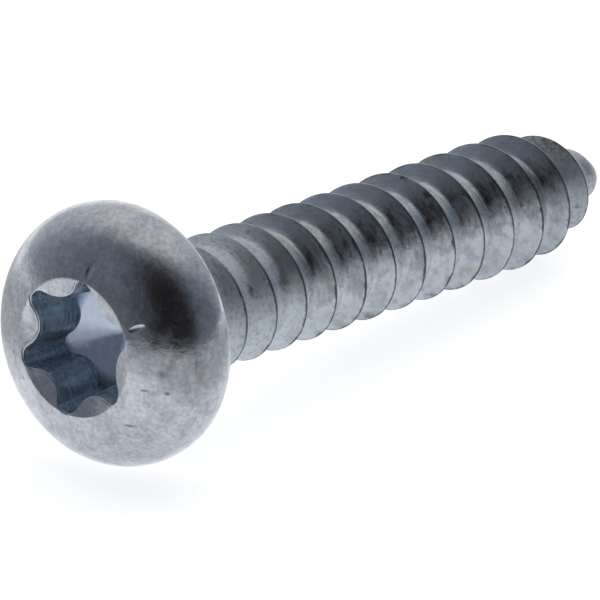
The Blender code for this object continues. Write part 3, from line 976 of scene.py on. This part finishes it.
def matt_paper(studio):
    """Matt white paper."""
    # Uncoated paper scatters light evenly. To the camera it is white up to the horizon, and it keeps the
    # screw's soft shadow, because only part of that white is its own. In the metal it is white where the
    # screw lies and far behind it, near the window, and greyer elsewhere, where the room is dim.
    material = bpy.data.materials.new("matt_studio_paper")
    material.use_nodes = True
    tree = material.node_tree
    tree.nodes.remove(tree.nodes["Principled BSDF"])
    add = partial(add_node, tree)
    rays = add("ShaderNodeLightPath").outputs
    spot = add("ShaderNodeTexCoord").outputs["Object"]
    # An oval that is centred under the head, and 2.8 times as long along the screw as it is wide
    centred = add(*MAPPING, {"Vector": spot, "Location": (4.4 * MM, 0.0, 0.0), "Scale": (0.36, 1.0, 1.0)})
    away = add(*VECTOR_LENGTH, [centred])
    near = add(*SMOOTH_RANGE, [away, 5.0 * MM, 14.0 * MM, 1.0, 0.3])
    # The paper behind the screw, as the camera sees it
    behind = add(*DOT_PRODUCT, [spot, (math.sin(studio.azimuth), math.cos(studio.azimuth), 0.0)])
    far = add(*SMOOTH_RANGE, [behind, 12.0 * MM, 30.0 * MM])
    whiter = add(*MAXIMUM, [near, far])
    mirrored = add(*MULTIPLY, [rays["Is Glossy Ray"], whiter])
    shown = rays["Is Camera Ray"]
    for more in (mirrored, rays["Is Transmission Ray"]):
        shown = add(*MAXIMUM, [shown, more])
    white = add(*MULTIPLY, [shown, studio.own_white])
    glow = add("ShaderNodeEmission", inputs={"Color": (*studio.backdrop, 1.0), "Strength": white})
    matt = add("ShaderNodeBsdfDiffuse", inputs={"Color": (*studio.backdrop, 1.0)})
    both = add("ShaderNodeAddShader", inputs=[matt, glow])
    set_inputs(tree.nodes["Material Output"], {"Surface": both})
    return material


# The soft lights round the screw: the colour's name, the azimuth from the Y axis and the elevation of
# the middle in degrees, and the angles from there at which it starts and ends to fade.
SURROUNDINGS = [
    ("spill", 48.0, 20.0, 6.0, 86.0),
    ("window", 60.0, 59.0, 3.0, 53.0),
    ("backdrop", 55.0, 2.0, 5.0, 25.0),
    ("dark", -139.0, 29.0, 17.0, 61.0),
]


def make_surroundings(studio):
    """The world: what lights the screw and is mirrored in it, and the white that the camera sees."""
    world = bpy.data.worlds.new("studio")
    world.use_nodes = True
    tree = world.node_tree
    add = partial(add_node, tree)
    lit = tree.nodes["Background"]
    towards = add("ShaderNodeTexCoord").outputs["Generated"]
    tint = (*studio.room, 1.0)
    for name, azimuth, elevation, inner, outer in SURROUNDINGS:
        turn = math.radians(azimuth)
        height = math.radians(elevation)
        middle = (math.sin(turn) * math.cos(height), math.cos(turn) * math.cos(height), math.sin(height))
        nearness = add(*DOT_PRODUCT, [towards, middle])
        edge = add(*SMOOTH_RANGE, [nearness, math.cos(math.radians(outer)), math.cos(math.radians(inner))])
        tint = add(*MIX, {0: edge, 6: tint, 7: (*getattr(studio, name), 1.0)})
    set_inputs(lit, {"Color": tint})
    white = add("ShaderNodeBackground", inputs={"Color": (*studio.backdrop, 1.0), "Strength": 1.0})
    rays = add("ShaderNodeLightPath").outputs
    chosen = add("ShaderNodeMixShader", inputs=[rays["Is Camera Ray"], lit, white])
    set_inputs(tree.nodes["World Output"], {"Surface": chosen})
    return world


def make_camera(studio, bearing, along):
    """The camera, which looks at the screw as the photograph does."""
    data = bpy.data.cameras.new("camera")
    data.lens = data.sensor_width * studio.distance / studio.frame_width
    data.clip_end = SIGHT_RANGE
    camera = new_object("camera", data)
    level = math.cos(studio.elevation)
    sight = Vector((
        math.sin(studio.azimuth) * level, math.cos(studio.azimuth) * level, -math.sin(studio.elevation),
    ))
    facing = (along * along.dot(sight) - sight).normalized()
    downward = along.cross(facing)
    target = bearing + along * LOOK_ALONG * MM + downward * LOOK_BELOW * MM
    camera.location = target - sight * studio.distance
    camera.rotation_euler = sight.to_track_quat("-Z", "Y").to_euler()
    bpy.context.scene.camera = camera


class SCREW_OT_stage(bpy.types.Operator):
    """Make the paper, the surroundings that light the screw, and the camera"""

    bl_idname = "screw.stage"
    bl_label = "Make studio"

    def execute(self, context):
        studio = context.scene.screw_studio
        make_camera(studio, *packed_axis())
        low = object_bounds()[0]
        bpy.ops.mesh.primitive_plane_add(size=PAPER_SIDE, location=(0.0, 0.0, low.z))
        floor = context.active_object
        floor.name = "paper"
        floor.data.materials.append(matt_paper(studio))
        floor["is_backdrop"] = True
        context.scene.world = make_surroundings(studio)
        context.scene.view_settings.view_transform = "Standard"
        return {"FINISHED"}


class SCREW_PT_panel(bpy.types.Panel):
    """Lists the screw's sizes and colours, and the buttons that make it"""

    bl_label = "Sheet metal screw"
    bl_idname = "SCREW_PT_panel"
    bl_space_type = "VIEW_3D"
    bl_region_type = "UI"
    bl_category = "Screw"

    def draw(self, context):
        for group, name in GROUPS.items():
            box = self.layout.box()
            box.label(text=group.__doc__)
            for setting in group.__annotations__:
                box.prop(getattr(context.scene, name), setting)
        self.layout.operator(SCREW_OT_make.bl_idname)
        self.layout.operator(SCREW_OT_stage.bl_idname)


GROUPS = {
    HeadSizes: "screw_head",
    RecessSizes: "screw_recess",
    ThreadSizes: "screw_thread",
    FinishColours: "screw_colours",
    StudioSizes: "screw_studio",
}
CLASSES = [*GROUPS, SCREW_OT_make, SCREW_OT_stage, SCREW_PT_panel]


def register():
    for item in CLASSES:
        bpy.utils.register_class(item)
    for group, name in GROUPS.items():
        setattr(bpy.types.Scene, name, PointerProperty(type=group))


def unregister():
    for name in GROUPS.values():
        delattr(bpy.types.Scene, name)
    for item in reversed(CLASSES):
        bpy.utils.unregister_class(item)


def main():
    register()
    bpy.ops.screw.make()
    bpy.ops.screw.stage()


if __name__ == "__main__":
    main()
